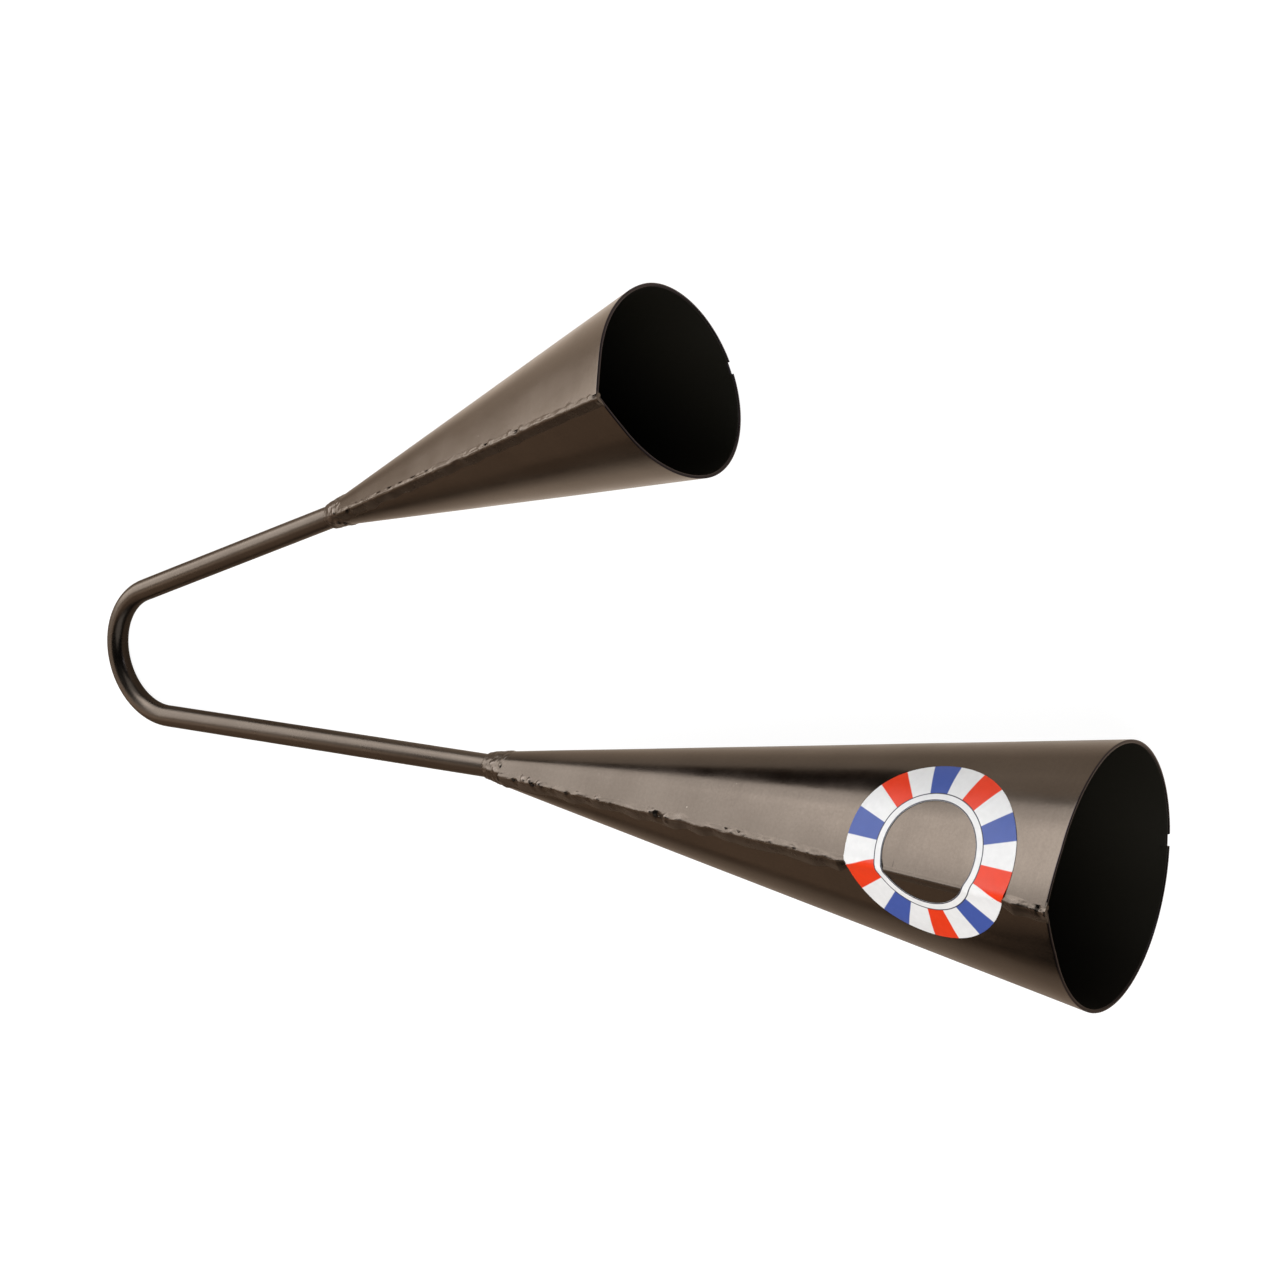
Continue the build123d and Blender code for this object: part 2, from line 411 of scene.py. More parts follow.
class Paint(Nodes):
    """Smoky brown-black lacquer on steel: it mirrors softly and hardly scatters."""

    def __init__(self, name, roughness, peel):
        super().__init__(name)
        self.place = self.new("ShaderNodeTexCoord").outputs["Object"]
        cloud = self.math("MULTIPLY", self.noise(self.place, scale=38.0, detail=4.0), CLOUD_SHARE)
        speck = self.math("MULTIPLY", self.noise(self.place, scale=1300.0, detail=2.0), 1 - CLOUD_SHARE)
        tone = self.spread(self.math("ADD", cloud, speck), *TONE_RANGE)
        self.colour = self.mix(tone, PAINT_DARK, PAINT_LIGHT)
        smear = self.noise(self.place, scale=70.0, detail=5.0, roughness=0.6)
        self.rough = self.spread(smear, *NOISE_RANGE, roughness - GLOSSIER, roughness + DULLER)
        orange_peel = self.noise(self.place, scale=700.0, detail=2.0)
        self.link(self.bump(orange_peel, peel, BUMP_HEIGHT), self.shader.inputs["Normal"])
        self.shader.inputs["Metallic"].default_value = 1.0
        self.shader.inputs["Specular Tint"].default_value = PAINT_EDGE

    def done(self):
        """The material, with its colour and roughness joined to the shader."""
        self.link(self.colour, self.shader.inputs["Base Color"])
        self.link(self.rough, self.shader.inputs["Roughness"])
        return self.material


def sheet_material():
    """Paint of the shells: faint streaks round the cone, few specks and scratches, painted shade on the
    rim, and painted shade that makes the inside near black.
    """
    nodes = Paint("sheet_paint", roughness=0.20, peel=0.04)
    flat = nodes.new("ShaderNodeCombineXYZ")
    nodes.link(nodes.attribute("sheet_along"), flat.inputs["X"])
    nodes.link(nodes.attribute("sheet_round"), flat.inputs["Y"])
    drawn = nodes.new("ShaderNodeMapping")
    drawn.inputs["Scale"].default_value = STREAK_SCALE
    nodes.link(flat.outputs["Vector"], drawn.inputs["Vector"])
    streak = nodes.noise(drawn.outputs["Vector"], scale=1.0, detail=4.0, roughness=0.6)
    shade = nodes.new("ShaderNodeHueSaturation")
    nodes.link(nodes.spread(streak, *NOISE_RANGE, to_low=0.97, to_high=1.03), shade.inputs["Value"])
    nodes.link(nodes.colour, shade.inputs["Color"])
    scratched = nodes.new("ShaderNodeMapping")
    scratched.inputs["Rotation"].default_value = (0.0, 0.0, SCRATCH_TURN)
    scratched.inputs["Scale"].default_value = SCRATCH_SCALE
    nodes.link(flat.outputs["Vector"], scratched.inputs["Vector"])
    scratch = nodes.spots(scratched.outputs["Vector"], scale=0.20, size=0.045, rarity=0.70)
    colour = nodes.mix(scratch, shade.outputs["Color"], SCRATCH)
    speck = nodes.spots(flat.outputs["Vector"], scale=0.25, size=0.055, rarity=0.90)
    colour = nodes.mix(speck, colour, SPECK)
    shaded_inside = nodes.attribute("shaded_inside")
    # Painted shade: the rim face is darkened.
    colour = nodes.mix(nodes.attribute("edge"), colour, RIM_PAINTED_SHADE)
    # Painted shade: the inside turns near black, not metallic and duller.
    nodes.colour = nodes.mix(shaded_inside, colour, INSIDE_PAINTED_SHADE)
    nodes.link(nodes.math("SUBTRACT", 1.0, shaded_inside), nodes.shader.inputs["Metallic"])
    nodes.shader.inputs["Specular IOR Level"].default_value = INSIDE_GLOSS
    nodes.rough = nodes.math("ADD", nodes.rough, nodes.math("MULTIPLY", shaded_inside, INSIDE_DULLER))
    return nodes.done()


def weld_material():
    """Paint of the welds, with painted shade in their hollows and painted highlight on their crests."""
    nodes = Paint("weld_paint", roughness=0.27, peel=0.10)
    relief = nodes.attribute("relief")
    # Painted shade where the relief is low, painted highlight where it is high.
    colour = nodes.mix(nodes.spread(relief, CREVICE_FROM, CREVICE_TO), nodes.colour, CREVICE_PAINTED_SHADE)
    nodes.colour = nodes.mix(nodes.spread(relief, CREST_FROM, CREST_TO), colour, CREST_PAINTED_HIGHLIGHT)
    return nodes.done()


sheet_paint = sheet_material()
bar_paint = Paint("bar_paint", roughness=0.28, peel=0.04).done()
weld_paint = weld_material()


LABEL_WHITE = (0.76, 0.76, 0.76, 1.0)
LABEL_RED = (0.74, 0.036, 0.004, 1.0)
LABEL_BLUE = (0.045, 0.085, 0.330, 1.0)
LABEL_LINE = (0.03, 0.03, 0.05, 1.0)
LABEL_RAYS = 10
LABEL_KEYLINE = 0.35
LABEL_GLOSS = 0.3
RAY_SOFTNESS = 0.05
INK_SOFTNESS = 0.02
RING_SOFTNESS = 0.08
KEYLINE_CORE = 0.35
KEYLINE_END = 0.65


def label_material():
    """Printed film: rays in red, white and blue round a white ring with a thin dark line each side."""
    nodes = Nodes("label_print")
    nodes.shader.inputs["Specular IOR Level"].default_value = LABEL_GLOSS
    along = nodes.attribute("label_along")
    round_it = nodes.attribute("label_round")
    along_square = nodes.math("MULTIPLY", along, along)
    round_square = nodes.math("MULTIPLY", round_it, round_it)
    reach = nodes.math("SQRT", nodes.math("ADD", along_square, round_square))
    turn = nodes.math("ARCTAN2", round_it, along)
    wave = nodes.math("SINE", nodes.math("MULTIPLY", turn, float(LABEL_RAYS)))
    half_wave = nodes.math("COSINE", nodes.math("MULTIPLY", turn, LABEL_RAYS / 2))
    half_shift = nodes.math("SINE", nodes.math("MULTIPLY", turn, LABEL_RAYS / 2))
    pick = nodes.math("ADD", half_wave, half_shift)
    ink = nodes.mix(nodes.spread(pick, -INK_SOFTNESS, INK_SOFTNESS), LABEL_BLUE, LABEL_RED)
    rays = nodes.mix(nodes.spread(wave, -RAY_SOFTNESS, RAY_SOFTNESS), LABEL_WHITE, ink)
    past_ring = nodes.spread(reach, LABEL_RING_R - RING_SOFTNESS, LABEL_RING_R + RING_SOFTNESS)
    colour = nodes.mix(past_ring, LABEL_WHITE, rays)
    for radius in (LABEL_WINDOW_R + LABEL_KEYLINE / 2, LABEL_RING_R):
        off_line = nodes.math("ABSOLUTE", nodes.math("SUBTRACT", reach, radius))
        clear = nodes.spread(off_line, LABEL_KEYLINE * KEYLINE_CORE, LABEL_KEYLINE * KEYLINE_END)
        colour = nodes.mix(clear, LABEL_LINE, colour)
    place = nodes.new("ShaderNodeTexCoord").outputs["Object"]
    grain = nodes.noise(place, scale=500.0, detail=4.0)
    fade = nodes.spread(grain, *NOISE_RANGE, to_low=0.94, to_high=1.0)
    shade = nodes.new("ShaderNodeHueSaturation")
    nodes.link(fade, shade.inputs["Value"])
    nodes.link(colour, shade.inputs["Color"])
    nodes.link(shade.outputs["Color"], nodes.shader.inputs["Base Color"])
    smear = nodes.noise(place, scale=160.0, detail=3.0)
    rough = nodes.spread(smear, *NOISE_RANGE, to_low=0.30, to_high=0.42)
    nodes.link(rough, nodes.shader.inputs["Roughness"])
    ripple = nodes.noise(place, scale=260.0, detail=2.0)
    nodes.link(nodes.bump(ripple, strength=0.05, distance=BUMP_HEIGHT), nodes.shader.inputs["Normal"])
    return nodes.material


label_print = label_material()


# Shells
RIM_BAND = 3.0
NOTCH_WALL = radians(0.03)
SHEET_WAVE = 0.05
SHEET_WAVE_SIZE = 38.0
FLAT_COLUMNS = 14
SHOULDER_COLUMNS = 16
BACK_COLUMNS = 56
NOTCH_COLUMNS = 8
WALL_ROWS = 110
RIM_BAND_ROWS = 7
RIM_ROWS = 4


def shell_columns(bell):
    """Columns from the seam's +Y edge round to its -Y edge: part of the outline, place and side."""
    notch = pi + radians(bell.notch_turn)
    half = asin(NOTCH_W / 2 / bell.mouth_r)
    flat = [("flat", share) for share in np.linspace(0, 1, FLAT_COLUMNS)[:-1]]
    turns = np.linspace(bell.flat_angle, bell.back_angle, SHOULDER_COLUMNS)
    shoulder = [("shoulder", angle) for angle in turns[:-1]]
    back = np.concatenate([
        np.linspace(bell.back_angle, notch - half - NOTCH_WALL, BACK_COLUMNS),
        np.linspace(notch - half + NOTCH_WALL, notch + half - NOTCH_WALL, NOTCH_COLUMNS),
        np.linspace(notch + half + NOTCH_WALL, 2 * pi - bell.back_angle, BACK_COLUMNS),
    ])
    columns = [(part, value, 1) for part, value in flat + shoulder]
    columns += [("back", angle, 1) for angle in back]
    columns += [(part, value, -1) for part, value in reversed(flat + shoulder)]
    in_notch = [part == "back" and abs(value - notch) < half for part, value, side in columns]
    return columns, np.array(in_notch)


def shell_ring(bell, columns, radius, skin):
    """Points of one ring, with the angle that each faces."""
    ring = []
    start = SEAM_GAP / 2 / cos(bell.flat_angle)
    for part, value, side in columns:
        if part == "flat":
            distance = start + value * (bell.flat_width(radius, skin) - start)
            x, y = bell.on_flat(radius, skin, distance)
            facing = bell.flat_angle
        elif part == "shoulder":
            x, y = bell.on_shoulder(radius, skin, value)
            facing = value
        else:
            x, y = (radius + skin) * cos(value), (radius + skin) * sin(value)
            facing = value
        ring.append((x, side * y, side * facing))
    return np.array(ring)


def shell_profile(bell):
    """Rows of the wall from the neck, up the outside, over the rounded rim and down the inside.

    Each is a height, the radius of the back there, a skin and how far it takes part in the notch.
    """
    heights = np.concatenate([
        np.linspace(0, bell.length - RIM_BAND, WALL_ROWS)[:-1],
        np.linspace(bell.length - RIM_BAND, bell.length - RIM_ROUND, RIM_BAND_ROWS),
    ])
    outside = []
    for z in heights:
        outside.append((z, bell.radius(z), 0.0, max(0.0, 1 + (z - bell.length) / RIM_BAND)))
    edge = []
    for turn in np.linspace(0, pi / 2, RIM_ROWS)[1:]:
        edge.append((-RIM_ROUND * (1 - cos(turn)), bell.length - RIM_ROUND * (1 - sin(turn))))
    rim = [(z, bell.mouth_r, skin, 1.0) for skin, z in edge]
    rim += [(z, bell.mouth_r, -SHEET - skin, 1.0) for skin, z in reversed(edge)]
    inside = [(z, radius, -SHEET, share) for z, radius, skin, share in reversed(outside)]
    return outside, rim, inside


def shell(bell, seed):
    """Rolled sheet with a rounded rim, the notch in it and the faint waves of hand rolling."""
    columns, in_notch = shell_columns(bell)
    outside, rim, inside = shell_profile(bell)
    rows = outside + rim + inside
    count = len(columns)
    points, along, round_it = [], [], []
    for z, radius, skin, share in rows:
        ring = shell_ring(bell, columns, radius, skin)
        for (x, y, facing), notched in zip(ring, in_notch):
            wave = SHEET_WAVE * rumple((x, y, z), SHEET_WAVE_SIZE, seed)
            sunk = NOTCH_DEPTH * share * notched
            points.append((x + wave * cos(facing), y + wave * sin(facing), z - sunk))
            along.append(z)
            round_it.append(np.arctan2(y, x) * radius)
    faces = quads(len(rows), count, close_rows=True)
    step = len(outside)
    last = len(rows) - 1
    for column in (0, count - 1):
        for row in range(step - 1):
            cap = (row, row + 1, last - row - 1, last - row)
            faces.append(tuple(index * count + column for index in cap))
        faces.append(tuple(row * count + column for row in range(step - 1, last - step + 2)))
    # Masks for painted shade: the inside rows are made near black and the rim rows darker.
    shaded_inside = np.repeat([0.0] * len(outside) + [0.0] * len(rim) + [1.0] * len(inside), count)
    edge = np.repeat([0.0] * len(outside) + [1.0] * len(rim) + [0.0] * len(inside), count)
    return add_piece(
        f"{bell.name}_shell",
        f"{bell.name}_bell",
        bell.place(points),
        faces,
        [sheet_paint],
        {"shaded_inside": shaded_inside, "edge": edge, "sheet_along": along, "sheet_round": round_it},
    )


# Bar
BAR_SIDES = 48
LOWER_ROWS = 70
BEND_ROWS = 61
UPPER_ROWS = 54
BEND_FLATTENING = 0.03
BAR_WAVE = 0.02
BAR_WAVE_SIZE = 9.0


def bar_route():
    """Points along the bar's middle, with their directions and how far each lies inside the bend."""
    lower, upper = mount_axis("lower_leg"), mount_axis("upper_leg")
    gap = mount_point("upper_leg") - mount_point("lower_leg")
    normal = unit(np.cross(lower, upper))
    to_meeting = np.cross(gap, upper) @ normal / (np.cross(lower, upper) @ normal)
    meeting = mount_point("lower_leg") + lower * to_meeting
    middle = unit(lower + upper)
    side = np.cross(normal, middle)
    half = np.arccos(lower @ upper) / 2
    centre = meeting + middle * BEND_R / sin(half)
    leg_start = BEND_R / tan(half)
    route = []
    ends = []
    for bell, way in ((LARGE, lower), (SMALL, upper)):
        ends.append((bell.neck - meeting) @ way + BAR_INSERT)
    for distance in np.linspace(ends[0], leg_start, LOWER_ROWS)[:-1]:
        route.append((meeting + lower * distance, -lower, 0.0))
    for turn in np.linspace(half - pi / 2, pi / 2 - half, BEND_ROWS):
        out = -middle * cos(turn) + side * sin(turn)
        along = middle * sin(turn) + side * cos(turn)
        route.append((centre + out * BEND_R, along, cos(turn)))
    for distance in np.linspace(leg_start, ends[1], UPPER_ROWS)[1:]:
        route.append((meeting + upper * distance, upper, 0.0))
    return route, normal


def bar():
    """Round bar bent once, a little flattened where it bends."""
    route, normal = bar_route()
    points = []
    for middle, along, bend in route:
        across = np.cross(normal, along)
        for index in range(BAR_SIDES):
            turn = 2 * pi * index / BAR_SIDES
            flat = 1 - BEND_FLATTENING * bend
            spot = middle + BAR_D / 2 * (across * cos(turn) * flat + normal * sin(turn))
            points.append(spot + BAR_WAVE * rumple(spot, BAR_WAVE_SIZE) * unit(spot - middle))
    faces = quads(len(route), BAR_SIDES, close_columns=True)
    faces.append(tuple(range(BAR_SIDES)))
    faces.append(tuple(range(len(points) - BAR_SIDES, len(points))))
    return add_piece("bent_bar", "handle_bar", points, faces, [bar_paint])


# Welds
MARK_REACH = 3


@dataclass
class Mark:
    """A lump or pit in a weld: its place along and across, its size, its height and the painted shade that
    it adds.
    """

    z: float
    across: float
    size: float
    height: float
    stretch: float = 1.0
    painted_shade: float = 0.0

    def share(self, z, across):
        """How far a place lies inside the mark, from 0 to 1."""
        square = (((z - self.z) / self.stretch) ** 2 + (across - self.across) ** 2) / self.size**2
        return np.exp(-square) if square < MARK_REACH**2 else 0.0

    def relief(self, z, across):
        """Height that the mark adds at a place."""
        return self.height * self.share(z, across)


LARGE_SEAM_MARKS = (
    Mark(8.0, 0.5, 1.0, -0.90),
    Mark(11.5, -1.3, 1.1, 0.40),
    Mark(14.5, -1.2, 0.9, 0.40),
    Mark(17.0, 0.4, 0.95, -0.90),
    Mark(19.0, -0.9, 0.9, 0.35),
    Mark(21.5, 0.5, 1.2, -0.40),
    Mark(22.5, -2.1, 0.45, -0.50),
    Mark(26.0, 0.4, 1.0, -0.35),
    Mark(28.5, -0.7, 0.8, 0.20, 2.0),
    Mark(33.0, 0.3, 0.95, -0.65),
    Mark(37.5, -0.6, 0.7, 0.18, 2.4),
    Mark(42.5, 0.4, 0.9, -0.30),
    Mark(46.0, -0.9, 1.0, 0.25),
    Mark(53.0, 0.4, 1.1, -0.25),
    Mark(60.0, -0.8, 1.0, 0.22, 2.2),
    Mark(69.0, -0.8, 1.0, 0.35),
    Mark(73.0, 0.3, 1.5, -1.15),
    Mark(73.2, 0.5, 0.45, 0.95),
    Mark(70.8, -1.2, 0.8, 0.32),
    Mark(76.0, -0.5, 0.9, 0.42),
    Mark(75.8, 1.7, 0.8, 0.45),
    Mark(81.0, -1.0, 1.8, 0.28, 1.5),
    Mark(93.5, -0.7, 0.7, 0.16, 2.4),
    Mark(101.0, -1.7, 0.5, -0.48),
    Mark(103.0, -0.9, 0.7, 0.26, 1.8),
    Mark(106.2, -1.6, 0.45, -0.42),
    Mark(108.0, -0.9, 0.7, 0.24, 2.2),
    Mark(114.5, -0.7, 0.6, 0.16, 2.6),
    Mark(118.5, -0.9, 0.6, 0.24, 1.8),
    Mark(124.0, -0.7, 0.7, 0.18, 2.8),
    Mark(127.8, -0.9, 0.6, 0.25, 1.6),
    Mark(133.0, -0.8, 0.7, 0.20, 2.4),
    Mark(139.5, -0.7, 0.6, 0.18, 2.4),
    Mark(199.5, -0.9, 1.2, 0.20, 2.4),
    Mark(206.5, -0.9, 1.2, 0.24, 2.6),
    Mark(215.4, -0.6, 1.0, -0.55, 0.8),
    Mark(217.0, 0.9, 1.0, 0.40),
)
SMALL_SEAM_MARKS = (
    Mark(7.0, 0.8, 1.2, -0.60),
    Mark(12.5, -1.8, 0.5, -0.50),
    Mark(16.0, -1.9, 0.5, -0.50),
    Mark(20.0, -0.5, 0.9, 0.16, 2.0),
    Mark(26.5, -1.6, 0.45, -0.42, 2.5),
    Mark(33.0, -1.6, 0.45, -0.45, 3.0),
    Mark(39.5, -1.6, 0.45, -0.48, 2.2),
    Mark(47.0, -1.6, 0.45, -0.45, 3.0),
    Mark(55.0, -1.6, 0.45, -0.40, 2.2),
    Mark(63.0, -0.6, 1.0, 0.15, 2.5),
    Mark(72.0, 0.8, 1.0, -0.35, 2.0),
    Mark(85.0, -0.6, 1.0, 0.20),
    Mark(88.0, -1.5, 0.7, -0.50),
    Mark(90.5, -1.1, 0.9, 0.25),
    Mark(101.0, -1.3, 0.9, 0.28),
    Mark(104.0, -1.0, 0.9, -0.70),
    Mark(107.0, -1.0, 0.9, 0.28),
    Mark(114.0, -0.7, 0.8, 0.16, 2.2),
    Mark(119.0, -1.0, 0.9, 0.18, 2.0),
    Mark(126.0, -0.8, 0.9, 0.16, 2.4),
    Mark(131.5, -1.2, 1.6, 0.14),
    Mark(137.5, -0.8, 1.2, 0.12, 1.6),
    Mark(141.5, -1.4, 0.8, 0.16),
    Mark(143.9, -1.1, 1.2, -0.30, 0.9, painted_shade=1.2),
    Mark(144.4, 1.5, 0.8, 0.30),
)
BEAD_SPAN = 1.7
BEAD_SWELL = 0.65
BEAD_SWELL_SIZE = 7.0
BEAD_LEDGE_UNDER_LABEL = 0.12
BEAD_R = 0.85
BEAD_TOE_R = 0.7
BEAD_TOE_TURN = radians(14)
BEAD_RUN_OUT = 0.4
BEAD_SKIN = 0.015
BEAD_SUNK = 0.06
BEAD_UPPER_EDGE = 1.0
BEAD_LOWER_EDGE = 0.7
BEAD_STEP = 0.35
BEAD_RIPPLE = 0.10
BEAD_RIPPLE_MEAN = 0.8
BEAD_RIPPLE_SPELL = 16.0
STROKE_ALONG = 0.45
STROKE_LEAN = 0.4
STROKE_ACROSS = 1.3
BEAD_RIPPLE_HALF = 2.0
BEAD_GRAIN = 0.04
BEAD_GRAIN_SIZE = 0.6
BEAD_RIM_CALM = 0.35
BEAD_RIM_REACH = 26.0
CALM_UNDER_LABEL = 0.95
LABEL_FADE = 2.0
ROOT_R = 0.7
ROOT_WAVE = 0.2
ROOT_WAVE_SIZE = 2.5
ROOT_DEPTH = 1.3
ROOT_COLUMNS = 11


def seam_point(bell, z, distance, lift, rounding):
    """Point over the rounded seam corner, at a distance round it from the crest, lifted off the sheet."""
    turn = min(abs(distance) / rounding, bell.flat_angle)
    past = abs(distance) - rounding * turn
    centre = bell.reach(z) - rounding / cos(bell.flat_angle)
    x = centre + (rounding + lift) * cos(turn) - past * sin(turn)
    y = (rounding + lift) * sin(turn) + past * cos(turn)
    return (x, y if distance >= 0 else -y, z)


def under_label(bell, z):
    """How far a place on the seam is covered by the label, from 0 to 1."""
    if bell is not LARGE:
        return 0.0
    past = LABEL_R + LABEL_FADE - abs(z - (bell.length - LABEL_FROM_MOUTH))
    return min(1.0, max(0.0, past / (2 * LABEL_FADE)))


def bead_relief(bell, z, across, marks, seed):
    """Height of the bead's surface over its plain shape: strokes that fade at the rim, grain and marks."""
    strength = BEAD_RIPPLE_MEAN * (1 + rumple((z, 0, 0), BEAD_RIPPLE_SPELL, seed + 4))
    strength *= min(1.0, max(BEAD_RIM_CALM, (bell.length - z) / BEAD_RIM_REACH))
    stroke = (STROKE_ALONG * z + STROKE_LEAN * across, STROKE_ACROSS * across, 0)
    relief = BEAD_RIPPLE * strength * rumple(stroke, 1.0, seed)
    relief += BEAD_GRAIN * rumple((z, across, 0), BEAD_GRAIN_SIZE, seed)
    relief *= np.exp(-((across / BEAD_RIPPLE_HALF) ** 4))
    return relief + sum(mark.relief(z, across) for mark in marks)


def bead_outline(bell, ledge):
    """Outline of the bead's top: in the -Y flat's plane past the corner by a ledge, then round and down.

    Each point has its place from the corner, the outline's slope there and its distance from the crest.
    """
    slope = bell.flat_angle
    down = slope + BEAD_TOE_TURN
    arc = BEAD_R * np.array([cos(down) - cos(slope), sin(down) + sin(slope)])
    brow = ledge * np.array([sin(slope), cos(slope)]) + arc
    height = brow @ np.array([cos(slope), sin(slope)])
    fall = max(0.0, (height - BEAD_TOE_R * (1 - cos(BEAD_TOE_TURN))) / sin(BEAD_TOE_TURN))
    strokes = (
        (BEAD_SPAN + ledge, 0.0, 12),
        (BEAD_R * (slope + down), -slope - down, 14),
        (fall, 0.0, 4),
        (BEAD_TOE_R * BEAD_TOE_TURN, BEAD_TOE_TURN, 4),
        (BEAD_RUN_OUT, 0.0, 3),
    )
    spot = -BEAD_SPAN * np.array([sin(slope), cos(slope)])
    turn = slope
    away = -BEAD_SPAN - ledge - BEAD_R * slope
    outline = [(spot, turn, away)]
    for length, bend, steps in strokes:
        for _ in range(steps):
            middle = turn + bend / steps / 2
            spot = spot + length / steps * np.array([sin(middle), cos(middle)])
            turn += bend / steps
            away += length / steps
            outline.append((spot, turn, away))
    return outline


def seam_bead(bell, marks, plain_ledge, seed):
    """Bead of weld over the seam corner, with a narrow root inside the bell."""
    count = int(bell.length / BEAD_STEP) + 1
    points, reliefs = [], []
    for z in np.linspace(0, bell.length, count):
        covered = under_label(bell, z)
        calm = 1 - CALM_UNDER_LABEL * covered
        ledge = plain_ledge * (1 + BEAD_SWELL * rumple((z, 0, 0), BEAD_SWELL_SIZE, seed + 1))
        ledge += (BEAD_LEDGE_UNDER_LABEL - ledge) * covered
        outline = bead_outline(bell, ledge)
        for spot, turn, away in outline:
            relief = calm * bead_relief(bell, z, away, marks, seed)
            past_upper = outline[0][2] + BEAD_UPPER_EDGE - away
            past_lower = away - outline[-1][2] + BEAD_LOWER_EDGE
            lift = BEAD_SKIN - BEAD_SUNK * max(0.0, past_upper, past_lower) + relief
            if spot[0] < 0:
                lift += bell.crown(bell.radius(z), abs(spot[1]) / cos(bell.flat_angle))
            x, y = spot + lift * np.array([cos(turn), -sin(turn)])
            points.append((bell.reach(z) + x, y, z))
            # Painted shade: some pits are lowered in the relief beyond their height, so that the weld paint
            # shades them more.
            pit_shade = sum(mark.painted_shade * mark.share(z, away) for mark in marks if mark.painted_shade)
            reliefs.append(relief - pit_shade)
        for turn in np.linspace(pi / 2, 3 * pi / 2, ROOT_COLUMNS):
            reach = ROOT_R + ROOT_WAVE * rumple((z, turn, 0), ROOT_WAVE_SIZE, seed + 2)
            points.append((bell.reach(z) - ROOT_DEPTH + reach * cos(turn), reach * sin(turn), z))
            reliefs.append(0.0)
    columns = len(points) // count
    faces = quads(count, columns, close_columns=True)
    faces.append(tuple(range(columns)))
    faces.append(tuple(range(len(points) - columns, len(points))))
    return add_piece(
        f"{bell.name}_seam_bead",
        f"{bell.name}_seam_weld",
        bell.place(points),
        faces,
        [weld_paint],
        {"relief": reliefs},
        sharp=75.0,
    )


LARGE_COLLAR_MARKS = (
    Mark(-3.5, -2.6, 1.4, 0.35),
    Mark(-0.5, -2.2, 0.8, 0.50),
    Mark(1.0, -2.8, 0.6, -0.40),
    Mark(2.2, -2.0, 0.8, 0.45),
    Mark(-1.5, 0.4, 1.2, 0.35),
    Mark(2.8, 2.4, 1.4, 0.35),
)
SMALL_COLLAR_MARKS = (
    Mark(-6.0, 1.5, 1.6, 0.40),
    Mark(-3.5, 3.0, 1.3, 0.55),
    Mark(-2.2, 0.4, 1.1, 0.50),
    Mark(-0.8, 2.2, 0.8, -0.50),
    Mark(0.8, 1.0, 1.2, 0.55),
    Mark(2.4, 3.2, 1.3, 0.50),
    Mark(-1.0, 4.8, 1.2, 0.45),
    Mark(-4.0, -2.0, 1.4, 0.30),
)
COLLAR_SIDES = 120
COLLAR_ROWS = 76
COLLAR_TOE = 0.48
COLLAR_END = 0.12
COLLAR_SUNK = -0.35
COLLAR_LIP = 0.06
COLLAR_FADE = 0.50
COLLAR_RAGGED = 1.6
COLLAR_RAGGED_MEAN = 0.6
COLLAR_EDGE_R = 4
COLLAR_LIP_SHADE = 0.6
COLLAR_LUMP = 0.26
COLLAR_LUMP_SIZE = 3.4
COLLAR_WRINKLE = 0.42
COLLAR_WRINKLE_SIZE = 1.5
COLLAR_GRAIN = 0.06
COLLAR_GRAIN_SIZE = 0.7
COLLAR_SMOOTHEST = 0.3
WRINKLED_TURN = 1.1
WRINKLED_MIDDLE = -1.0
WRINKLED_LENGTH = 4.5


def section_reach(bell, radius, turn):
    """Distance from the axis to the section's outline in the direction of the angle from the seam."""
    turn = abs(turn)
    end_x, end_y = bell.on_shoulder(radius, 0, bell.flat_angle)
    if turn <= np.arctan2(end_y, end_x):
        rise = bell.flank_rise * (radius / bell.mouth_r)
        return (radius + rise) / cos(turn - bell.flat_angle)
    if turn >= bell.back_angle:
        return radius
    bare_r = bell.shoulder_r(radius)
    offset = radius - bare_r
    aside = offset * sin(turn - bell.back_angle)
    return offset * cos(turn - bell.back_angle) + (bare_r**2 - aside**2) ** 0.5


def collar_relief(bell, spot, z, turn, marks, seed):
    """Height of a collar's surface over its plain shape, most wrinkled beside the seam."""
    beside_seam = np.exp(-((turn / WRINKLED_TURN) ** 2))
    beside_seam *= np.exp(-(((z - WRINKLED_MIDDLE) / WRINKLED_LENGTH) ** 2))
    relief = COLLAR_LUMP * rumple(spot, COLLAR_LUMP_SIZE, seed)
    wrinkled = COLLAR_SMOOTHEST + (1 - COLLAR_SMOOTHEST) * beside_seam
    relief += COLLAR_WRINKLE * wrinkled * rumple(spot, COLLAR_WRINKLE_SIZE, seed + 3)
    relief += COLLAR_GRAIN * rumple(spot, COLLAR_GRAIN_SIZE, seed + 7)
    return relief + sum(mark.relief(z, turn * bell.neck_r) for mark in marks)


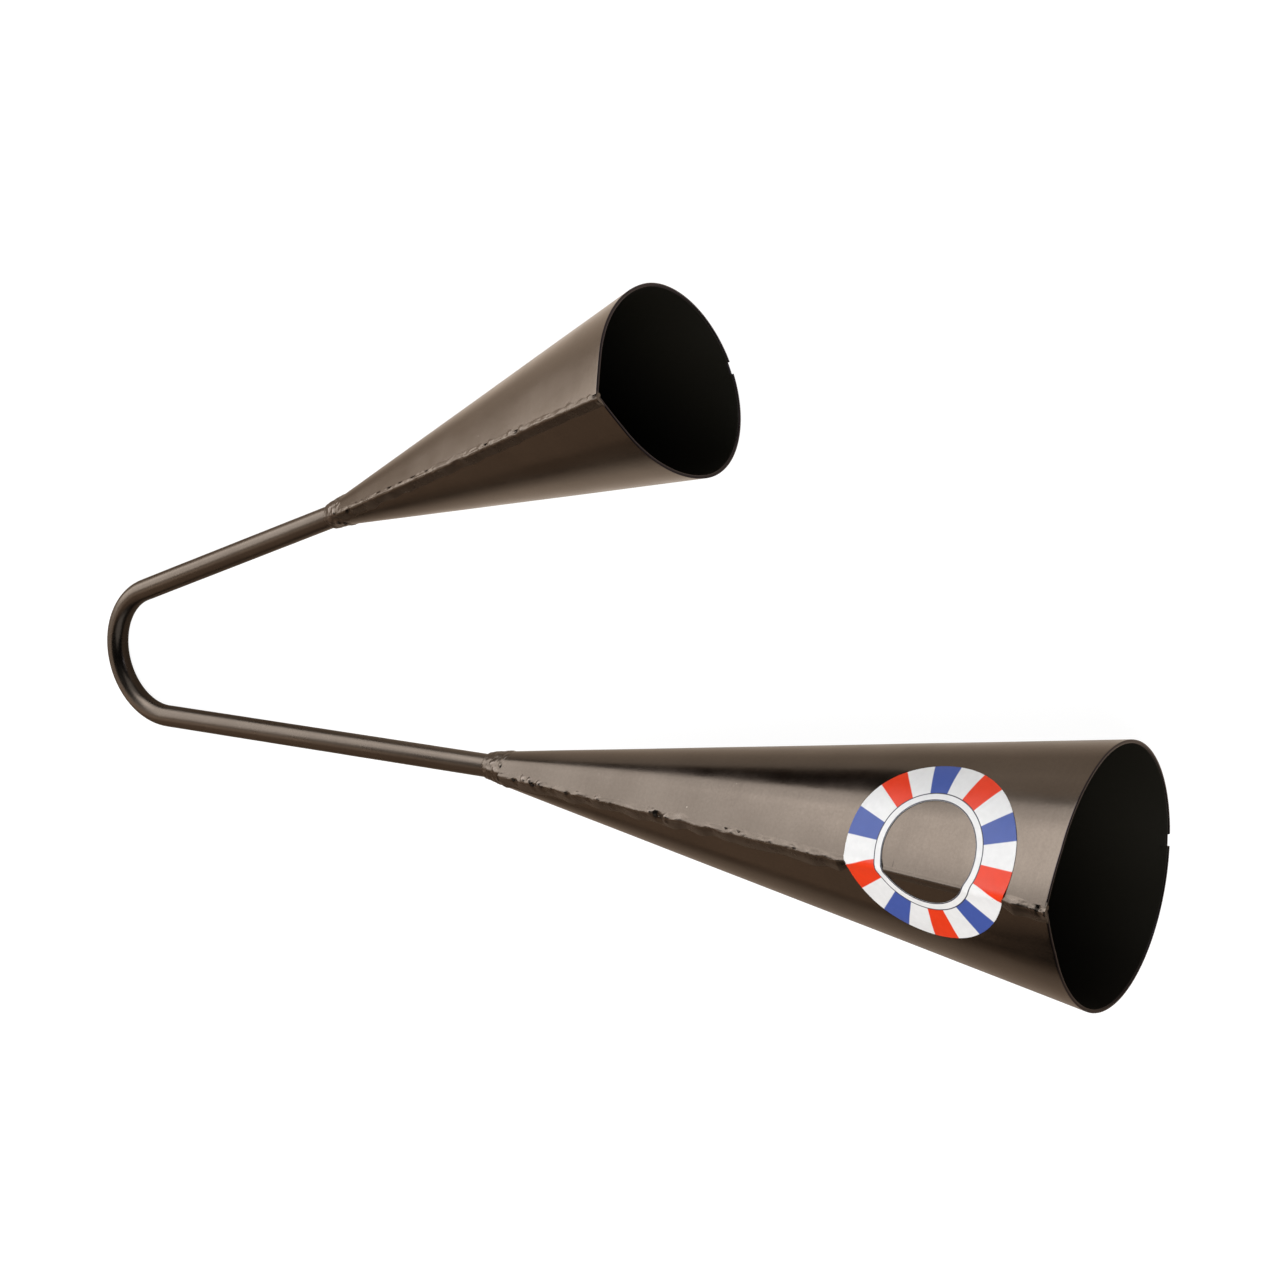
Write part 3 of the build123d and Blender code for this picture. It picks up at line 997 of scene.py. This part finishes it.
def neck_collar(bell, marks, seed):
    """Collar of weld metal that climbs from the bar to the cone, with ragged ends."""
    points, reliefs = [], []
    for share in np.linspace(0, 1, COLLAR_ROWS):
        lip = sin(pi / 2 * min(1.0, share / COLLAR_LIP))
        fade = sin(pi / 2 * min(1.0, (1 - share) / COLLAR_FADE))
        thick = COLLAR_TOE + (COLLAR_END - COLLAR_TOE) * share
        for turn in np.linspace(-pi, pi, COLLAR_SIDES, endpoint=False):
            way = np.array([cos(turn), sin(turn)])
            edge = (*(COLLAR_EDGE_R * way), 0)
            start = -bell.collar_on_bar + COLLAR_RAGGED / 2 * rumple(edge, 2.5, seed + 1)
            end = bell.collar_on_neck + COLLAR_RAGGED * (COLLAR_RAGGED_MEAN + rumple(edge, 3.0, seed + 2))
            z = start + share * (end - start)
            climb = min(1.0, max(0.0, 1 + z / bell.collar_on_bar))
            outline = section_reach(bell, bell.radius(max(z, 0.0)), turn)
            bare = BAR_D / 2 + (outline - BAR_D / 2) * climb
            relief = collar_relief(bell, (*(bare * way), z), z, turn, marks, seed) * min(lip, fade)
            skin = COLLAR_SUNK + (thick - COLLAR_SUNK) * min(lip, fade) + relief
            points.append((*((bare + skin) * way), z))
            reliefs.append(relief - COLLAR_LIP_SHADE * (1 - lip))
    return add_piece(
        f"{bell.name}_neck_collar",
        f"{bell.name}_neck_weld",
        bell.place(points),
        quads(COLLAR_ROWS, COLLAR_SIDES, close_rows=True, close_columns=True),
        [weld_paint],
        {"relief": reliefs},
        sharp=80.0,
    )


# Label
LABEL_ROWS = 30
LABEL_COLUMNS = 240
FILM_ROUND = 2.2
FILM_BUMP = 0.42
FILM_BUMP_HALF = 2.0
FILM_BEND = 8.0
FILM_UNDERSIDE = 0.02


def film_point(bell, z, distance, lift):
    """Point of a film stuck over the seam, at a distance round the bell from it."""
    if abs(distance) < FILM_BEND:
        bump = FILM_BUMP * np.exp(-((distance / FILM_BUMP_HALF) ** 2))
        lift += bump + bell.crown(bell.radius(z), abs(distance))
        return seam_point(bell, z, distance, lift, FILM_ROUND)
    saved = FILM_ROUND * (tan(bell.flat_angle) - bell.flat_angle)
    away = distance + saved if distance > 0 else distance - saved
    spot = bell.along(bell.radius(z), away, lift)
    return (*spot, z)


def ring_label():
    """Ring of printed film wrapped round the large bell, over its seam."""
    reaches = np.linspace(LABEL_WINDOW_R, LABEL_R, LABEL_ROWS)
    rows = [(reach, LABEL_THICK) for reach in reaches]
    rows += [(reach, FILM_UNDERSIDE) for reach in reversed(reaches)]
    points, along, round_it = [], [], []
    for reach, lift in rows:
        for index in range(LABEL_COLUMNS):
            turn = 2 * pi * index / LABEL_COLUMNS
            along.append(reach * cos(turn))
            round_it.append(reach * sin(turn))
            z = LARGE.length - LABEL_FROM_MOUTH + along[-1]
            points.append(film_point(LARGE, z, round_it[-1] - LABEL_FROM_SEAM, lift))
    return add_piece(
        "ring_label",
        "label",
        LARGE.place(points),
        quads(len(rows), LABEL_COLUMNS, close_rows=True, close_columns=True),
        [label_print],
        {"label_along": along, "label_round": round_it},
    )


shell(LARGE, seed=3.0)
shell(SMALL, seed=7.0)
seam_bead(LARGE, LARGE_SEAM_MARKS, plain_ledge=0.65, seed=11.0)
seam_bead(SMALL, SMALL_SEAM_MARKS, plain_ledge=0.25, seed=37.0)
neck_collar(LARGE, LARGE_COLLAR_MARKS, seed=17.0)
neck_collar(SMALL, SMALL_COLLAR_MARKS, seed=43.0)
bar()
ring_label()

# Camera at the photograph's viewing angle
azimuth = radians(VIEW_AZIMUTH)
elevation = radians(VIEW_ELEVATION)
back = Vector((sin(azimuth) * cos(elevation), -cos(azimuth) * cos(elevation), sin(elevation)))
camera = bpy.data.objects.new("camera", bpy.data.cameras.new("camera"))
camera.data.sensor_width = SENSOR_MM
camera.data.lens = SENSOR_MM * FOCAL_PIXELS / FRAME_PIXELS
camera.location = VIEW_TARGET + back * VIEW_DISTANCE
camera.rotation_mode = "QUATERNION"
camera.rotation_quaternion = (-back).to_track_quat("-Z", "Y") @ Quaternion((0, 0, 1), radians(VIEW_ROLL))
bpy.context.scene.collection.objects.link(camera)
bpy.context.scene.camera = camera


# Light
WARM = (1.0, 0.73, 0.53)
TAN = (1.0, 0.87, 0.75)
COOL = (0.80, 0.84, 1.0)


def soft_box(name, azimuth, elevation, distance, width, height, radiance, colour=(1.0, 1.0, 1.0), roll=0):
    """Soft box in a direction from the object's middle, facing it, whose face shines at the radiance."""
    light = bpy.data.lights.new(name, "AREA")
    light.shape = "RECTANGLE"
    light.size = width
    light.size_y = height
    light.energy = radiance * pi * width * height
    light.color = colour
    lamp = bpy.data.objects.new(name, light)
    a, e = radians(azimuth), radians(elevation)
    way = Vector((cos(a) * cos(e), sin(a) * cos(e), sin(e)))
    lamp.location = VIEW_TARGET + way * distance
    lamp.rotation_mode = "QUATERNION"
    lamp.rotation_quaternion = (-way).to_track_quat("-Z", "Y") @ Quaternion((0, 0, 1), radians(roll))
    lamp.visible_camera = False
    bpy.context.scene.collection.objects.link(lamp)
    return lamp


soft_box(
    "key_box", azimuth=135, elevation=22, distance=0.90, width=1.26, height=0.76, radiance=3.0, roll=-15,
)
soft_box("key_core", azimuth=119, elevation=28, distance=0.88, width=0.42, height=0.30, radiance=1.5)
soft_box("low_strip", azimuth=155, elevation=5, distance=0.88, width=0.44, height=0.15, radiance=1.2)
soft_box(
    "side_card", azimuth=182, elevation=18, distance=0.9, width=0.46, height=0.86, radiance=0.80,
    colour=TAN,
)
soft_box(
    "fill_card", azimuth=-150, elevation=18, distance=1.0, width=0.76, height=1.0, radiance=0.47,
    colour=WARM,
)
soft_box(
    "window", azimuth=14, elevation=8, distance=1.2, width=0.55, height=0.22, radiance=2.2,
    colour=COOL,
)
soft_box("left_card", azimuth=-80, elevation=40, distance=1.2, width=1.1, height=0.9, radiance=0.6)
soft_box("right_card", azimuth=72, elevation=36, distance=1.2, width=1.1, height=1.0, radiance=0.6)
overhead = soft_box(
    "overhead_box", azimuth=-50, elevation=56, distance=1.2, width=1.0, height=1.0, radiance=4.6,
)
overhead.visible_glossy = False

# Floor: lengths in metres, and levels of the glow that the metal mirrors
FLOOR_SIZE = 8.0
FLOOR_TONE = (0.20, 0.20, 0.20, 1.0)
FLOOR_TONE_IN_METAL = (0.20, 0.150, 0.112, 1.0)
FLOOR_IN_METAL = (1.0, 0.94, 0.86, 1.0)
WHITE = (1.0, 1.0, 1.0, 1.0)
FLOOR_TO_CAMERA = 0.91
FLOOR_WHITE_FROM = 0.7
FLOOR_WHITE_PAST = 1.6
FLOOR_BEHIND = 0.66
FLOOR_BESIDE_BEHIND = 0.80
FLOOR_BETWEEN = 0.22
FLOOR_BESIDE_BETWEEN = 0.57
FLOOR_IN_FRONT = 0.20
FLOOR_BLEND = 0.03
BESIDE_NEAR = 0.05
BESIDE_FAR = 0.16
HANDLE_SHADE = 0.12
HANDLE_SHADE_FULL_X = -0.13
HANDLE_SHADE_END_X = -0.03
PAST_HANDLE_FROM = 0.02
PAST_HANDLE_TO = 0.10
ROOM_LEVEL = 0.02


def off_axis(nodes, place, bell):
    """Distance on the floor from the line of a bell's axis, in metres, positive towards +Y."""
    way = unit((-bell.axis[1], bell.axis[0], 0))
    node = nodes.new("ShaderNodeVectorMath", operation="DOT_PRODUCT")
    nodes.link(place, node.inputs[0])
    node.inputs[1].default_value = way.tolist()
    return nodes.math("SUBTRACT", node.outputs["Value"], float(way @ bell.neck) * MM)


# Painted shadow in the glow: it is low on the -Y side of the bells, where they and the bar would shade the
# floor, and by the handle.
def floor_glow(nodes, place):
    """Level at which the metal mirrors the floor: high beside and behind the bells, low by the handle."""
    past_large = off_axis(nodes, place, LARGE)
    past_small = off_axis(nodes, place, SMALL)
    off_large = nodes.math("ABSOLUTE", past_large)
    off_small = nodes.math("ABSOLUTE", past_small)
    nearest = nodes.math("MINIMUM", off_large, off_small)
    beside = nodes.spread(nearest, BESIDE_NEAR, BESIDE_FAR, to_low=1.0, to_high=0.0)
    blend = (-FLOOR_BLEND, FLOOR_BLEND)
    level = nodes.spread(past_small, *blend, FLOOR_BESIDE_BETWEEN, FLOOR_BESIDE_BEHIND)
    plain = nodes.spread(past_small, *blend, FLOOR_BETWEEN, FLOOR_BEHIND)
    bright = nodes.math("MAXIMUM", plain, nodes.math("MULTIPLY", beside, level))
    extra = nodes.math("SUBTRACT", bright, FLOOR_IN_FRONT)
    more = nodes.math("MULTIPLY", nodes.spread(past_large, *blend), extra)
    sides = nodes.new("ShaderNodeSeparateXYZ")
    nodes.link(place, sides.inputs["Vector"])
    along = nodes.spread(sides.outputs["X"], HANDLE_SHADE_FULL_X, HANDLE_SHADE_END_X, HANDLE_SHADE, 1.0)
    past_handle = nodes.spread(past_small, PAST_HANDLE_FROM, PAST_HANDLE_TO)
    off_handle = nodes.math("MAXIMUM", along, past_handle)
    return nodes.math("MULTIPLY", nodes.math("ADD", more, FLOOR_IN_FRONT), off_handle)


def floor():
    """Pale floor under the object, white to the camera and pale in the metal, with a soft shadow."""
    mesh = bpy.data.meshes.new("floor")
    half = FLOOR_SIZE / 2
    corners = [(-half, -half, 0), (half, -half, 0), (half, half, 0), (-half, half, 0)]
    mesh.from_pydata(corners, [], [(0, 1, 2, 3)])
    ground = bpy.data.objects.new("floor", mesh)
    bpy.context.scene.collection.objects.link(ground)
    nodes = Nodes("floor")
    nodes.shader.inputs["Roughness"].default_value = 1.0
    nodes.shader.inputs["Specular IOR Level"].default_value = 0.0
    path = nodes.new("ShaderNodeLightPath")
    seen = path.outputs["Is Camera Ray"]
    mirrored = path.outputs["Is Glossy Ray"]
    nodes.link(nodes.mix(seen, FLOOR_IN_METAL, WHITE), nodes.shader.inputs["Emission Color"])
    nodes.link(nodes.mix(mirrored, FLOOR_TONE, FLOOR_TONE_IN_METAL), nodes.shader.inputs["Base Color"])
    place = nodes.new("ShaderNodeTexCoord").outputs["Object"]
    reflected = nodes.math("MAXIMUM", mirrored, path.outputs["Is Transmission Ray"])
    to_metal = nodes.math("MULTIPLY", reflected, floor_glow(nodes, place))
    span = nodes.new("ShaderNodeVectorMath", operation="LENGTH")
    nodes.link(place, span.inputs["Vector"])
    whiteness = nodes.spread(
        span.outputs["Value"], FLOOR_WHITE_FROM, FLOOR_WHITE_PAST, FLOOR_TO_CAMERA, 1.0
    )
    to_camera = nodes.math("MULTIPLY", seen, whiteness)
    nodes.link(nodes.math("ADD", to_metal, to_camera), nodes.shader.inputs["Emission Strength"])
    mesh.materials.append(nodes.material)


def world():
    """Dim room round the soft boxes, white where the camera looks past the floor."""
    surroundings = bpy.data.worlds.new("studio")
    bpy.context.scene.world = surroundings
    surroundings.use_nodes = True
    tree = surroundings.node_tree
    path = tree.nodes.new("ShaderNodeLightPath")
    level = tree.nodes.new("ShaderNodeMapRange")
    level.inputs["To Min"].default_value = ROOM_LEVEL
    level.inputs["To Max"].default_value = 1.0
    tree.links.new(path.outputs["Is Camera Ray"], level.inputs["Value"])
    background = tree.nodes["Background"]
    background.inputs["Color"].default_value = WHITE
    tree.links.new(level.outputs["Result"], background.inputs["Strength"])


floor()
world()
bpy.context.scene.view_settings.view_transform = "Standard"
